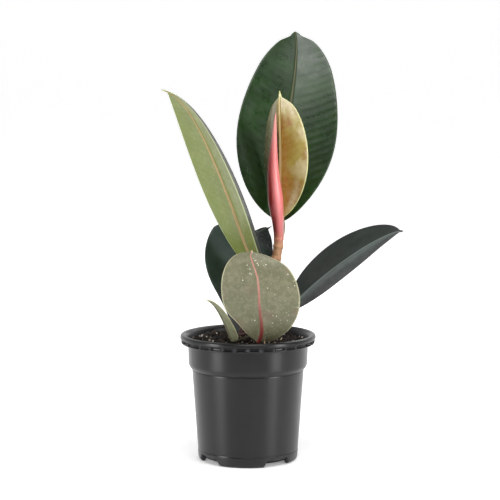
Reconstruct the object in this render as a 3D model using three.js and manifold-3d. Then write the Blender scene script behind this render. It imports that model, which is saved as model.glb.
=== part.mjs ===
// A young rubber plant in a round nursery pot.
//
// Frame: millimetres, +Z up. The origin is the centre of the pot's flat floor, on the surface that the
// pot stands on. The small round leaf that leans out over the rim is at the front, towards -Y.

import * as THREE from "three";
import { mergeVertices } from "three/addons/utils/BufferGeometryUtils.js";
import Module from "manifold-3d";

const wasm = await Module();
wasm.setup();

// ------------------------------------------------------------------------- driving dimensions, mm

// Pot
const POT_HEIGHT = 112;
const RIM_DIAMETER = 120;
const RIM_CROWN_SETBACK = 3.5;
const LIP_HEIGHT = 8;
const LIP_FLARE = 1.4;
const LIP_ROLL = 3.4;
const RIM_OVERHANG = 6.6;
const SHOULDER_HEIGHT = 20;
const SHOULDER_TAPER = 1.2;
const SHOULDER_STEP = 2.4;
const BODY_TAPER = 6.8;
const BASE_CORNER = 2;
const POT_WALL = 1.2;
const RIM_WALL = 1.6;
const POT_SIDES = 64;

// Ribs that stop stacked pots from jamming, under the lip
const RIB_COUNT = 32;
const RIB_HEIGHT = 3.2;
const RIB_THICKNESS = 1.4;
const RIB_LIP_CLEARANCE = 1.6;

// Drain openings in the corner between wall and floor
const DRAIN_COUNT = 4;
const DRAIN_HEIGHT = 5;
const DRAIN_WIDTH = 20;
const DRAIN_DEPTH = 8;
const DRAIN_FIRST_AZIMUTH = -53;

// Soil
const SOIL_BELOW_RIM = 5.5;
const SOIL_BUMP = 0.9;
const SOIL_RINGS = 7;

// Gap left between pieces that touch
const FIT_GAP = 0.3;

// Stem: points above the soil line that its centre line passes through
const STEM_DEPTH_IN_SOIL = 34;
const STEM_RADIUS = 4.9;
const STEM_TOP_RADIUS = 4.1;
const STEM_SIDES = 12;
const STEM_STEPS = 18;
const STEM_ROUTE = [[12, 0, 0], [13.2, 0.5, 9], [16.5, 1, 25], [20, 1.5, 45], [23.5, 1, 65], [26.4, 0.5, 81],
  [27, 0, 90.5]];

// Bud sheath: the pink pointed stipule that wraps the growing tip, as offsets from the stem's top.
// It starts its seat's depth lower and is trimmed to the stem's end.
const SHEATH_ROUTE = [[0, 0, 0], [-1.2, -4, 17], [-3.6, -9, 38], [-5.2, -12, 66], [-3, -13, 110]];
const SHEATH_SEAT = 1.5;
const SHEATH_BASE_RADIUS = 4.1;
const SHEATH_WIDEST_RADIUS = 6.3;
const SHEATH_WIDEST_AT = 0.33;
const SHEATH_TAPER = 1.1;
const SHEATH_TIP_RADIUS = 0.5;

// Leaves. Each is attached to the stem at a height above the soil line; spine is the cubic Bezier that
// its midrib follows, as offsets from that attachment; face is the way its upper side looks at the
// base and at the tip. Fold and curl, in degrees, are for the leaf's two halves: a positive value
// lifts a half towards the upper side. Width is the full width of the blade. Where slim is given, the
// first half narrows between those two places along the leaf, to that share of its width. The stalk sets
// out from the stem along leaves, and runs straight into the blade over its last arrive millimetres.
const BLADE_THICKNESS = 0.9;
const MARGIN_THICKNESS = 0.55;
const DRIP_TIP_HALF_WIDTH = 2;
const LEAST_HALF_WIDTH = 0.8;
const MIDRIB_TIP_RADIUS = 0.6;
const LEAVES = {
  leaf_tall_back: {
    height: 72, width: 91, wideAt: 0.44, blunt: [0.75, 0.52], drip: 0.03, fold: [8, 8], curl: [8, 8],
    spine: [[6, 11, 32], [-2, 25, 90], [24, 45, 157], [18, 71, 200]],
    face: [[0.05, -1, 0.1], [0.1, -0.8, 0.6]],
    leaves: [0.2, 0.4, 1], arrive: 12, petiole: 1.9, color: "#23402a",
  },
  young_leaf: {
    height: 83, width: 57, wideAt: 0.52, blunt: [0.64, 0.52], drip: 0.06, fold: [-20, 5], curl: [-35, 8],
    spine: [[-2, 0, 24], [4.5, -8, 54], [0, -10, 107], [1, -6, 136.5]],
    face: [[-0.4, -0.9, 0], [-0.4, -0.9, 0]],
    leaves: [0.6, 0.2, 1], arrive: 8, petiole: 1.9, color: "#a9843d",
  },
  leaf_left_long: {
    height: 31, width: 82, wideAt: 0.45, blunt: [0.82, 0.76], drip: 0.05, fold: [-2, -4], curl: [-12, -12],
    spine: [[0, -1, 18], [-25, -11, 65], [-55, -33, 185], [-91, -44, 190]],
    face: [[0.87, 0.41, 0.4], [0.83, 0.41, 0.6]],
    leaves: [-0.5, -0.6, 0.8], arrive: 8, petiole: 1.8, color: "#7c8a4a",
  },
  leaf_front_round: {
    height: 5, width: 67, wideAt: 0.5, blunt: [0.47, 0.35], drip: 0.02, fold: [5, 5], curl: [6, 6],
    spine: [[-4, -36, -1], [12, -51, 28], [-13, -56, 53], [-9, -41, 79]],
    face: [[0, 0.75, 0.7], [0.05, 0.95, -0.3]],
    leaves: [0, -1, 0.2], arrive: 1.5, petiole: 1.6, color: "#6f6c50",
  },
  leaf_right: {
    height: 10, width: 68, wideAt: 0.44, blunt: [0.69, 0.73], drip: 0.05, fold: [5, 5], curl: [5, 5],
    spine: [[24, 1.5, 17], [45, -2.5, 44], [104, -8.5, 88], [122, -16.5, 88]],
    face: [[-0.6, -0.34, 0.72], [-0.3, -0.34, 0.85]],
    leaves: [1, 0.1, 0.5], arrive: 8, petiole: 1.8, color: "#33403d",
  },
  leaf_back_left: {
    height: 5.5, width: 73, wideAt: 0.6, blunt: [0.35, 0.32], drip: 0.03, fold: [8, 8], curl: [8, 8],
    spine: [[-20, 8, -2], [3, 22, 43], [-41, 40, 73], [9, 46, 91]], slim: [0.74, 0.9, 0.12],
    face: [[0.2, -0.9, 0.4], [0, -0.85, 0.4]],
    leaves: [-1, 0.5, 0.2], arrive: 1.5, petiole: 1.7, color: "#2c3b38",
  },
  leaf_small_front_left: {
    height: 5.5, width: 17, wideAt: 0.25, blunt: [0.45, 0.7], drip: 0.08, fold: [15, 15], curl: [8, 8],
    spine: [[-25, -28, -2], [-30, -30, 8], [-40, -33, 35], [-49, -38, 35]],
    face: [[0.85, 0.48, 0.3], [0.75, 0.48, 0.6]],
    leaves: [-0.8, -0.6, 0.1], arrive: 4, petiole: 1.1, color: "#7c7f62",
  },
};

// Loose pieces on the soil: distance in from the soil's edge, azimuth in degrees from +X towards +Y, half
// sizes, and turn about Z in degrees. Each sits with its centre this share of its half height above the soil.
const PIECE_SEAT_SHARE = 0.6;
const SOIL_PIECES = {
  bark_chip_left: { inset: 12.8, azimuth: 162, half: [5, 3, 1.6], turn: 25, color: "#4a2f25" },
  bark_chip_back: { inset: 5.4, azimuth: 41, half: [4.5, 3, 1.5], turn: -35, color: "#3f2a22" },
  bark_chip_front: { inset: 8.3, azimuth: -135, half: [4, 2.4, 1.4], turn: 60, color: "#50352a" },
  perlite_left: { inset: 6.0, azimuth: -170, half: [1.7, 1.5, 1.4], turn: 10, color: "#cfc8bb" },
  perlite_back_left: { inset: 6.8, azimuth: 133, half: [1.8, 1.6, 1.4], turn: 40, color: "#d6d0c4" },
  perlite_back: { inset: 8.5, azimuth: 85, half: [1.6, 1.5, 1.3], turn: 70, color: "#cbc4b6" },
  perlite_right: { inset: 6.5, azimuth: 5, half: [1.7, 1.5, 1.4], turn: 20, color: "#d2cbbe" },
  straw_left: { inset: 25.6, azimuth: -151, half: [5, 0.7, 0.6], turn: 50, color: "#b5a183" },
};

// ------------------------------------------------------------------------------------ derived sizes

const RIM_RADIUS = RIM_DIAMETER / 2;
const CROWN_RADIUS = RIM_RADIUS - RIM_CROWN_SETBACK;
const SHOULDER_TOP_RADIUS = RIM_RADIUS - RIM_OVERHANG;
const SHOULDER_BOTTOM_RADIUS = SHOULDER_TOP_RADIUS - SHOULDER_TAPER;
const BODY_TOP_RADIUS = SHOULDER_BOTTOM_RADIUS - SHOULDER_STEP;
const BASE_RADIUS = BODY_TOP_RADIUS - BODY_TAPER;
const LIP_BOTTOM = POT_HEIGHT - LIP_HEIGHT;
const STEP_TOP = LIP_BOTTOM - SHOULDER_HEIGHT;
const STEP_RISE = SHOULDER_STEP / 2;
const BODY_TOP = STEP_TOP - STEP_RISE;
const SOIL_LINE = POT_HEIGHT - SOIL_BELOW_RIM;
const SOIL_RADIUS = SHOULDER_BOTTOM_RADIUS - POT_WALL - FIT_GAP;

// ------------------------------------------------------------------------------------ mesh helpers

const vec = (xyz) => new THREE.Vector3(...xyz);
const radians = THREE.MathUtils.degToRad;

// Six times the volume inside an indexed mesh: negative where its faces point inwards.
function signedVolume(positions, index) {
  const [a, b, c] = [new THREE.Vector3(), new THREE.Vector3(), new THREE.Vector3()];
  let sum = 0;
  for (let i = 0; i < index.length; i += 3) {
    a.fromArray(positions, index[i] * 3);
    b.fromArray(positions, index[i + 1] * 3);
    c.fromArray(positions, index[i + 2] * 3);
    sum += a.dot(b.cross(c));
  }
  return sum;
}

// A closed skin over a row of closed rings with equal point counts; both ends are capped.
function loft(rings) {
  const n = rings[0].length;
  const positions = rings.flat().flatMap((p) => [p.x, p.y, p.z]);
  const index = [];
  for (let r = 0; r + 1 < rings.length; r++) {
    for (let i = 0; i < n; i++) {
      const [a, b] = [r * n + i, r * n + ((i + 1) % n)];
      index.push(a, b, b + n, a, b + n, a + n);
    }
  }
  for (const [ring, flip] of [[0, true], [rings.length - 1, false]]) {
    const centre = rings[ring].reduce((sum, p) => sum.add(p), new THREE.Vector3()).divideScalar(n);
    const tip = positions.length / 3;
    positions.push(centre.x, centre.y, centre.z);
    for (let i = 0; i < n; i++) {
      const [a, b] = [ring * n + i, ring * n + ((i + 1) % n)];
      index.push(...(flip ? [tip, b, a] : [tip, a, b]));
    }
  }
  if (signedVolume(positions, index) < 0) index.reverse();
  const geometry = new THREE.BufferGeometry();
  geometry.setAttribute("position", new THREE.Float32BufferAttribute(positions, 3));
  geometry.setIndex(index);
  return geometry;
}

// A round tube along a curve; radiusAt(t) gives its radius from start (0) to end (1).
function tube(curve, radiusAt, steps, sides) {
  const frames = curve.computeFrenetFrames(steps);
  const rings = [];
  for (let i = 0; i <= steps; i++) {
    const centre = curve.getPointAt(i / steps);
    const radius = radiusAt(i / steps);
    rings.push(Array.from({ length: sides }, (_, k) => {
      const angle = (2 * Math.PI * k) / sides;
      return centre.clone()
        .addScaledVector(frames.normals[i], radius * Math.cos(angle))
        .addScaledVector(frames.binormals[i], radius * Math.sin(angle));
    }));
  }
  return loft(rings);
}

function toSolid(geometry) {
  const bare = geometry.clone();
  bare.deleteAttribute("normal");
  bare.deleteAttribute("uv");
  const merged = mergeVertices(bare, 1e-4);
  const vertProperties = new Float32Array(merged.attributes.position.array);
  const triVerts = new Uint32Array(merged.index.array);
  return new wasm.Manifold(new wasm.Mesh({ numProp: 3, vertProperties, triVerts }));
}

function toGeometry(solid) {
  const mesh = solid.getMesh();
  const geometry = new THREE.BufferGeometry();
  geometry.setAttribute("position", new THREE.Float32BufferAttribute(mesh.vertProperties, 3));
  geometry.setIndex(Array.from(mesh.triVerts));
  return geometry;
}

// ---------------------------------------------------------------------------------------------- pot

// Outside of the pot from the floor's centre to the rim crown, as [radius, height].
function outerProfile() {
  return [
    [0, 0],
    [BASE_RADIUS - BASE_CORNER, 0],
    [BASE_RADIUS, BASE_CORNER],
    [BODY_TOP_RADIUS, BODY_TOP],
    [SHOULDER_BOTTOM_RADIUS, STEP_TOP],
    [SHOULDER_TOP_RADIUS, LIP_BOTTOM + RIM_WALL],
    [RIM_RADIUS - LIP_FLARE - RIM_WALL, LIP_BOTTOM + RIM_WALL],
    [RIM_RADIUS - LIP_FLARE - RIM_WALL, LIP_BOTTOM],
    [RIM_RADIUS - LIP_FLARE, LIP_BOTTOM],
    [RIM_RADIUS, POT_HEIGHT - LIP_ROLL],
    [RIM_RADIUS - LIP_ROLL * (1 - Math.SQRT1_2), POT_HEIGHT - LIP_ROLL * (1 - Math.SQRT1_2)],
    [CROWN_RADIUS, POT_HEIGHT],
  ];
}

// Inside of the pot from the rim crown down to the floor's centre.
function innerProfile() {
  return [
    [CROWN_RADIUS - RIM_WALL, POT_HEIGHT - RIM_WALL / 4],
    [SHOULDER_TOP_RADIUS - POT_WALL, POT_HEIGHT - LIP_ROLL],
    [SHOULDER_BOTTOM_RADIUS - POT_WALL, STEP_TOP + POT_WALL / 2],
    [BODY_TOP_RADIUS - POT_WALL, BODY_TOP + POT_WALL / 2],
    [BASE_RADIUS - POT_WALL, BASE_CORNER + POT_WALL / 2],
    [BASE_RADIUS - BASE_CORNER - POT_WALL / 2, POT_WALL],
    [0, POT_WALL],
  ];
}

function lathed(profile) {
  const points = profile.map(([radius, height]) => new THREE.Vector2(radius, height));
  return new THREE.LatheGeometry(points, POT_SIDES).rotateX(Math.PI / 2);
}

// One block at a given azimuth: 0 is the front (-Y), positive towards +X. It spans radii and heights.
function radialBlock(azimuth, width, [r0, r1], [z0, z1]) {
  return new THREE.BoxGeometry(width, r1 - r0, z1 - z0)
    .translate(0, -(r0 + r1) / 2, (z0 + z1) / 2)
    .rotateZ(radians(azimuth));
}

function buildPot() {
  let pot = toSolid(lathed([...outerProfile(), ...innerProfile()]));
  const underLip = LIP_BOTTOM + RIM_WALL;
  const ribTop = underLip + RIM_WALL / 2;
  const ribReach = RIM_RADIUS - LIP_FLARE - RIM_WALL - RIB_LIP_CLEARANCE;
  const ribRoot = SHOULDER_TOP_RADIUS - POT_WALL / 2;
  for (let i = 0; i < RIB_COUNT; i++) {
    const azimuth = (i + 0.5) * (360 / RIB_COUNT);
    const rib = radialBlock(azimuth, RIB_THICKNESS, [ribRoot, ribReach], [ribTop - RIB_HEIGHT, ribTop]);
    pot = pot.add(toSolid(rib));
  }
  for (let i = 0; i < DRAIN_COUNT; i++) {
    const azimuth = DRAIN_FIRST_AZIMUTH + i * (360 / DRAIN_COUNT);
    const radii = [BASE_RADIUS - DRAIN_DEPTH, BASE_RADIUS + DRAIN_DEPTH];
    const opening = radialBlock(azimuth, DRAIN_WIDTH, radii, [-BASE_CORNER, DRAIN_HEIGHT]);
    pot = pot.subtract(toSolid(opening));
  }
  return toGeometry(pot);
}

// --------------------------------------------------------------------------------------------- stem

// The stem's centre line, carried past its top by extra.
function stemCurve(extra = 0) {
  const buried = [STEM_ROUTE[0][0], STEM_ROUTE[0][1], -STEM_DEPTH_IN_SOIL];
  const points = [buried, ...STEM_ROUTE].map(([x, y, z]) => new THREE.Vector3(x, y, z + SOIL_LINE));
  const [below, top] = points.slice(-2);
  top.addScaledVector(top.clone().sub(below).normalize(), extra);
  return new THREE.CatmullRomCurve3(points);
}

function buildStem(extra = 0) {
  const radiusAt = (t) => THREE.MathUtils.lerp(STEM_RADIUS, STEM_TOP_RADIUS, t) + extra;
  return tube(stemCurve(extra), radiusAt, STEM_STEPS, STEM_SIDES);
}

// The point on the stem's centre line at a height above the soil line.
function stemPoint(height) {
  const curve = stemCurve();
  let [low, high] = [0, 1];
  for (let i = 0; i < 30; i++) {
    const middle = (low + high) / 2;
    if (curve.getPoint(middle).z < SOIL_LINE + height) low = middle;
    else high = middle;
  }
  return curve.getPoint(low);
}

// --------------------------------------------------------------------------------------- bud sheath

function buildSheath(extra = 0) {
  const top = stemCurve().getPoint(1);
  const points = SHEATH_ROUTE.map((p) => vec(p).add(top));
  points[0].z -= SHEATH_SEAT;
  const radiusAt = (t) => {
    const swell = t < SHEATH_WIDEST_AT
      ? THREE.MathUtils.smoothstep(t, 0, SHEATH_WIDEST_AT)
      : 1 - ((t - SHEATH_WIDEST_AT) / (1 - SHEATH_WIDEST_AT)) ** SHEATH_TAPER;
    const end = t < SHEATH_WIDEST_AT ? SHEATH_BASE_RADIUS : SHEATH_TIP_RADIUS;
    return THREE.MathUtils.lerp(end, SHEATH_WIDEST_RADIUS, swell) + extra;
  };
  return tube(new THREE.CatmullRomCurve3(points), radiusAt, STEM_STEPS, STEM_SIDES);
}

// ------------------------------------------------------------------------------------------- leaves

const BLADE_STEPS = 18;
const HALF_BLADE_STEPS = 4;
const STALK_REACH_SHARE = 0.4;
const STALK_STEPS = 5;
const TIP_BLUNTNESS_STARTS = 0.3;
const TIP_BLUNTNESS_OVER = 0.5;
const MIDRIB_STEPS = 18;
const MIDRIB_SIDES = 6;
const MIDRIB_STARTS = 0.06;
const MIDRIB_ENDS = 0.88;
const MIDRIB_POINTS = 10;
const TIP_WEDGE_SHARE = 2.5;

// Half width of a blade at s, from 0 at its base to 1 at the end of its drip tip: a raised sine whose
// top sits at wideAt, with a narrow wedge for the tip.
function halfWidth(leaf, s) {
  const power = Math.log(0.5) / Math.log(leaf.wideAt);
  const q = THREE.MathUtils.clamp(s / (1 - leaf.drip), 0, 1);
  const towardsTip = THREE.MathUtils.clamp((q - TIP_BLUNTNESS_STARTS) / TIP_BLUNTNESS_OVER, 0, 1);
  const bluntness = THREE.MathUtils.lerp(leaf.blunt[0], leaf.blunt[1], towardsTip);
  const body = Math.max(Math.sin(Math.PI * q ** power), 0) ** bluntness * (leaf.width / 2);
  const tip = THREE.MathUtils.clamp((1 - s) / (TIP_WEDGE_SHARE * leaf.drip), 0, 1) * DRIP_TIP_HALF_WIDTH;
  return Math.max(Math.cbrt(body ** 3 + tip ** 3), LEAST_HALF_WIDTH);
}

// One closed ring round the blade at s: across the upper side and back along the under side.
function bladeRing(leaf, spine, s) {
  const centre = spine.getPoint(s);
  const along = spine.getTangent(s);
  const face = vec(leaf.face[0]).lerp(vec(leaf.face[1]), s);
  const up = face.addScaledVector(along, -face.dot(along)).normalize();
  const across = new THREE.Vector3().crossVectors(along, up);
  const [slimStart, slimEnd, slimShare] = leaf.slim ?? [0, 1, 1];
  const slimmed = THREE.MathUtils.lerp(1, slimShare, THREE.MathUtils.smoothstep(s, slimStart, slimEnd));
  const side = (v, top) => {
    const wing = v < 0 ? 0 : 1;
    const half = halfWidth(leaf, s) * (wing === 0 ? slimmed : 1);
    const fold = radians(leaf.fold[wing]);
    const curl = radians(leaf.curl[wing]);
    const angle = fold + curl * Math.abs(v);
    const out = (Math.sin(angle) - Math.sin(fold)) / curl;
    const lift = (Math.cos(fold) - Math.cos(angle)) / curl;
    const sign = Math.sign(v);
    const thick = THREE.MathUtils.lerp(BLADE_THICKNESS, MARGIN_THICKNESS, v * v) * (top ? 0.5 : -0.5);
    return centre.clone()
      .addScaledVector(across, sign * out * half - sign * Math.sin(angle) * thick)
      .addScaledVector(up, lift * half + Math.cos(angle) * thick);
  };
  const n = HALF_BLADE_STEPS;
  const values = Array.from({ length: 2 * n + 1 }, (_, i) => (i - n) / n);
  return [...values.map((v) => side(v, true)), ...values.reverse().map((v) => side(v, false))];
}

// A leaf is one piece: its blade, the midrib under it and the stalk that joins it to the stem.
function leafSolid(leaf) {
  const root = stemPoint(leaf.height);
  const points = leaf.spine.map((p) => vec(p).add(root));
  const spine = new THREE.CubicBezierCurve3(...points);
  const rings = Array.from({ length: BLADE_STEPS + 1 }, (_, i) => bladeRing(leaf, spine, i / BLADE_STEPS));
  const reach = root.distanceTo(points[0]) * STALK_REACH_SHARE;
  const stalk = new THREE.CubicBezierCurve3(
    root,
    root.clone().addScaledVector(vec(leaf.leaves).normalize(), reach),
    points[0].clone().addScaledVector(spine.getTangent(0), -leaf.arrive),
    points[0],
  );
  const rib = Array.from({ length: MIDRIB_POINTS }, (_, i) => {
    return spine.getPoint(THREE.MathUtils.lerp(MIDRIB_STARTS, MIDRIB_ENDS, i / (MIDRIB_POINTS - 1)));
  });
  const route = new THREE.CatmullRomCurve3([...stalk.getPoints(STALK_STEPS), ...rib], false, "centripetal");
  const radiusAt = (t) => THREE.MathUtils.lerp(leaf.petiole, MIDRIB_TIP_RADIUS, t);
  return toSolid(loft(rings)).add(toSolid(tube(route, radiusAt, MIDRIB_STEPS, MIDRIB_SIDES)));
}

// --------------------------------------------------------------------------------------------- soil

function soilHeight(x, y) {
  const rolling = Math.sin(0.13 * x + 1.3) * Math.cos(0.11 * y + 0.4);
  const lumps = 0.6 * Math.sin(0.37 * x - 0.29 * y + 0.7) + 0.4 * Math.cos(0.23 * x + 0.41 * y);
  return SOIL_LINE + SOIL_BUMP * (rolling + lumps);
}

// The root ball: it follows the inside of the pot with a gap, and its top is uneven.
function soilBlock(rise = 0) {
  const circle = (radius, heightAt) => Array.from({ length: POT_SIDES }, (_, k) => {
    const angle = (2 * Math.PI * k) / POT_SIDES;
    const [x, y] = [radius * Math.sin(angle), radius * Math.cos(angle)];
    return new THREE.Vector3(x, y, heightAt(x, y) + rise);
  });
  const wall = innerProfile().slice(2, 6).reverse()
    .map(([radius, height]) => circle(radius - FIT_GAP, () => height + FIT_GAP));
  const shares = Array.from({ length: SOIL_RINGS }, (_, i) => 1 - i / SOIL_RINGS);
  return loft([...wall, ...shares.map((share) => circle(SOIL_RADIUS * share, soilHeight))]);
}

// A loose lump pressed into the top of the soil.
function soilPiece({ inset, azimuth, half, turn }, raisedSoil) {
  const radius = SOIL_RADIUS - inset;
  const [x, y] = [radius * Math.cos(radians(azimuth)), radius * Math.sin(radians(azimuth))];
  const lump = new THREE.IcosahedronGeometry(1, 1)
    .scale(...half)
    .rotateZ(radians(turn))
    .translate(x, y, soilHeight(x, y) + half[2] * PIECE_SEAT_SHARE);
  return toSolid(lump).subtract(raisedSoil);
}

// --------------------------------------------------------------------------------------- the plant

const plant = new THREE.Group();

function add(name, geometry, color, roughness) {
  const mesh = new THREE.Mesh(geometry, new THREE.MeshStandardMaterial({ color, roughness, metalness: 0 }));
  mesh.name = name;
  plant.add(mesh);
}

const stemCutter = toSolid(buildStem(FIT_GAP));
const raisedSoil = toSolid(soilBlock(FIT_GAP));

add("pot", buildPot(), "#3a3a3d", 0.45);
add("potting_soil", toGeometry(toSolid(soilBlock()).subtract(stemCutter)), "#33211b", 0.95);
add("stem", buildStem(), "#8a6a48", 0.7);
add("bud_sheath", toGeometry(toSolid(buildSheath()).subtract(stemCutter)), "#d9868a", 0.4);

for (const [name, leaf] of Object.entries(LEAVES)) {
  let solid = leafSolid(leaf).subtract(stemCutter);
  if (name === "young_leaf") solid = solid.subtract(toSolid(buildSheath(FIT_GAP)));
  add(name, toGeometry(solid), leaf.color, 0.35);
}

for (const [name, piece] of Object.entries(SOIL_PIECES)) {
  add(name, toGeometry(soilPiece(piece, raisedSoil)), piece.color, 0.9);
}

export default plant;
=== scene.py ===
"""A young rubber plant in a round nursery pot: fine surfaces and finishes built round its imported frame.

Shapes are written in millimetres and turned to metres by MM where they become meshes. The plant
stands on its pot's floor at the origin, +Z up, and the small round leaf leans out towards -Y.
"""

import math

import bpy
import numpy as np
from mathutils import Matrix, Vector


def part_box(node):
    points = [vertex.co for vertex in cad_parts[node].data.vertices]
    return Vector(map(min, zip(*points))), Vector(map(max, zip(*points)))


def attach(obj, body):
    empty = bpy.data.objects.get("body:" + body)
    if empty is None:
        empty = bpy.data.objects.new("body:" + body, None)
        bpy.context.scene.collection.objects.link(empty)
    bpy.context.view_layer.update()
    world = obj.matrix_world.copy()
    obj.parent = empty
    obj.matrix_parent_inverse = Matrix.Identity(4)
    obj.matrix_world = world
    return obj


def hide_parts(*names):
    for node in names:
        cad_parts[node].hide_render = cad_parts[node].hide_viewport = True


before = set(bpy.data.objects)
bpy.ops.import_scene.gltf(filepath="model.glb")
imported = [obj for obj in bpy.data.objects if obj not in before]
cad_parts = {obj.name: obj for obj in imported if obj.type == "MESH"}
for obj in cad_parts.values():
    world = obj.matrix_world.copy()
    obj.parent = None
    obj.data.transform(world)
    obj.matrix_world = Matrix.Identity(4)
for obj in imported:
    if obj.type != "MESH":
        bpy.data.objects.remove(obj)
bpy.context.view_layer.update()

bl_info = {
    "name": "Potted rubber plant",
    "version": (1, 0, 0),
    "blender": (4, 5, 0),
    "location": "3D View > Sidebar > Rubber plant",
    "description": "Builds the pot, soil, stem, bud sheath and leaves of a young rubber plant",
    "category": "Add Mesh",
}

MM = 0.001
SEED = 7
BODY = "root"
RIM_RADIUS, _, POT_HEIGHT = (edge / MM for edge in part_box("pot")[1])
SOIL_BELOW_RIM = 5.5
SOIL_LINE = POT_HEIGHT - SOIL_BELOW_RIM
SOIL_TOP_RADIUS = 51.2

# ---- leaf values

# Each leaf's midrib is a cubic Bezier, written as offsets from where its stalk leaves the stem, which
# is height above the soil line. leaves is the way that the stalk sets out, arrive the length of its
# straight run into the blade and stalk its radius. face is the way the upper side looks at the base and
# at the tip. wide_at is where the blade is widest, blunt how full it is towards its base and its tip,
# and drip the share of the length that its outline stops short of the tip. fold and curl, in degrees,
# lift its two halves towards the upper side. slim narrows the first half from one place along the leaf
# to another, down to a share, and trim narrows the second half round a place: the place, its reach and
# the share taken off. sway sets the midrib off the middle, at places along the leaf, by shares of the
# half width. pointed is the share of the length over which the outline draws in to the tip, and apex
# the slope and greatest half width of the tip's wedge. veins counts the side veins on a half, relief
# scales them, wave is the height of the blade's waves and rows counts the rows of points.
LEAVES = {
    "leaf_tall_back": dict(
        height=72, width=91, wide_at=0.44, blunt=(0.75, 0.52), drip=0.03, fold=(8, 8), curl=(8, 8),
        spine=((6, 11, 32), (-2, 25, 90), (24, 45, 157), (18, 71, 200)),
        face=((0.05, -1, 0.1), (0.1, -0.8, 0.6)), leaves=(0.2, 0.4, 1), arrive=12, stalk=1.9,
        rows=260, slot="leaf_dark_green", skin="tall", veins=26, wave=0.7, relief=0.75, pointed=0.07,
        apex=(1.5, 7)),
    "young_leaf": dict(
        height=83, width=57, wide_at=0.52, blunt=(0.64, 0.52), drip=0.06, fold=(-20, 5), curl=(-35, 8),
        spine=((-2, 0, 24), (4.5, -8, 54), (0, -10, 107), (1, -6, 136.5)),
        face=((-0.4, -0.9, 0), (-0.4, -0.9, 0)), leaves=(0.6, 0.2, 1), arrive=8, stalk=1.9,
        rows=220, slot="leaf_young_gold", skin="young", veins=24, wave=0.3, relief=0.4, pointed=0.12,
        apex=(0.45, 4)),
    "leaf_left_long": dict(
        height=31, width=82, wide_at=0.45, blunt=(0.82, 0.76), drip=0.05, fold=(-2, -4), curl=(-12, -12),
        spine=((0, -1, 18), (-25, -11, 65), (-55, -33, 185), (-91, -44, 190)),
        face=((0.87, 0.41, 0.4), (0.83, 0.41, 0.6)), leaves=(-0.5, -0.6, 0.8), arrive=8, stalk=1.8,
        rows=260, slot="leaf_light_olive", skin="long", veins=34, wave=0.5, relief=0.3, pointed=0.05,
        sway=((0, 0.08, 0.2, 0.35, 0.6, 1), (0, 0.26, 0.22, 0.11, 0.08, 0)), apex=(0.35, 3)),
    "leaf_front_round": dict(
        height=5, width=67, wide_at=0.5, blunt=(0.47, 0.35), drip=0.02, fold=(5, 5), curl=(6, 6),
        spine=((-4, -36, -1), (12, -51, 28), (-13, -56, 53), (-9, -41, 79)),
        face=((0, 0.75, 0.7), (0.05, 0.95, -0.3)), leaves=(0, -1, 0.2), arrive=1.5, stalk=1.6,
        rows=190, slot="leaf_grey_olive", skin="front", veins=14, wave=0.5, relief=0.35, apex=(1, 3),
        sway=((0, 0.05, 0.15, 0.29, 0.43, 0.58, 0.7, 0.79, 0.88, 0.94, 1),
              (-0.03, 0, 0.06, 0.1, 0.07, -0.02, -0.08, -0.07, -0.02, 0.05, 0))),
    "leaf_right": dict(
        height=10, width=68, wide_at=0.44, blunt=(0.69, 0.73), drip=0.05, fold=(5, 5), curl=(5, 5),
        spine=((24, 1.5, 17), (45, -2.5, 44), (104, -8.5, 88), (122, -16.5, 88)),
        face=((-0.6, -0.34, 0.72), (-0.3, -0.34, 0.85)), leaves=(1, 0.1, 0.5), arrive=8, stalk=1.8,
        rows=220, slot="leaf_teal_dark", skin="right", veins=24, wave=0.6, relief=0.1, apex=(0.4, 4)),
    "leaf_back_left": dict(
        height=5.5, width=73, wide_at=0.6, blunt=(0.35, 0.32), drip=0.03, fold=(8, 8), curl=(8, 8),
        spine=((-20, 8, -2), (3, 22, 43), (-41, 40, 73), (9, 46, 91)), slim=(0.74, 0.9, 0.12),
        trim=(0.55, 0.25, 0.09),
        face=((0.2, -0.9, 0.4), (0, -0.85, 0.4)), leaves=(-1, 0.5, 0.2), arrive=1.5, stalk=1.7,
        rows=200, slot="leaf_teal_dark", skin="back", veins=18, wave=0.6, relief=0.1, apex=(0.8, 4)),
    "leaf_small_front_left": dict(
        height=5.5, width=17, wide_at=0.25, blunt=(0.45, 0.7), drip=0.08, fold=(15, 15), curl=(8, 8),
        spine=((-25, -28, -2), (-30, -30, 8), (-40, -33, 35), (-49, -38, 35)),
        face=((0.85, 0.48, 0.3), (0.75, 0.48, 0.6)), leaves=(-0.8, -0.6, 0.1), arrive=4, stalk=1.1,
        rows=110, slot="leaf_grey_olive", skin="small", veins=8, wave=0.2, relief=0.3, apex=(0.3, 2)),
}
BLADE_THICKNESS = 0.8
MARGIN_THICKNESS = 0.45
HALF_COLUMNS = 40
LEAST_HALF_WIDTH = 0.35
POINTED_POWER = 0.45
TIP_BLUNTNESS_STARTS, TIP_BLUNTNESS_OVER = 0.3, 0.5
WEDGE_STARTS, WEDGE_FULL = 0.7, 0.95
SWELL_AT_STEM = 0.5

# Stem centre line above the soil line, and the bud sheath's as offsets from the stem's top
STEM_TOP = 90.5
STEM_ROUTE = ((12, 0, -12), (12, 0, 0), (13.2, 0.5, 9), (16.5, 1, 25), (20, 1.5, 45), (23.5, 1, 65),
              (26.4, 0.5, 81), (27, 0, STEM_TOP))
STEM_NODES = (5, 10, 31, 49, 72, 83)
STEM_RADIUS, STEM_TOP_RADIUS = 4.9, 4.0
SHEATH_ROUTE = ((0, 0, -2), (0, 0, 3), (-1.2, -4, 17), (-3.6, -9, 38), (-5.2, -12, 66), (-3, -13, 110))

# ---- numpy geometry


def unit(a):
    """Vectors scaled to length one."""
    return a / np.maximum(np.linalg.norm(a, axis=-1, keepdims=True), 1e-12)


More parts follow.
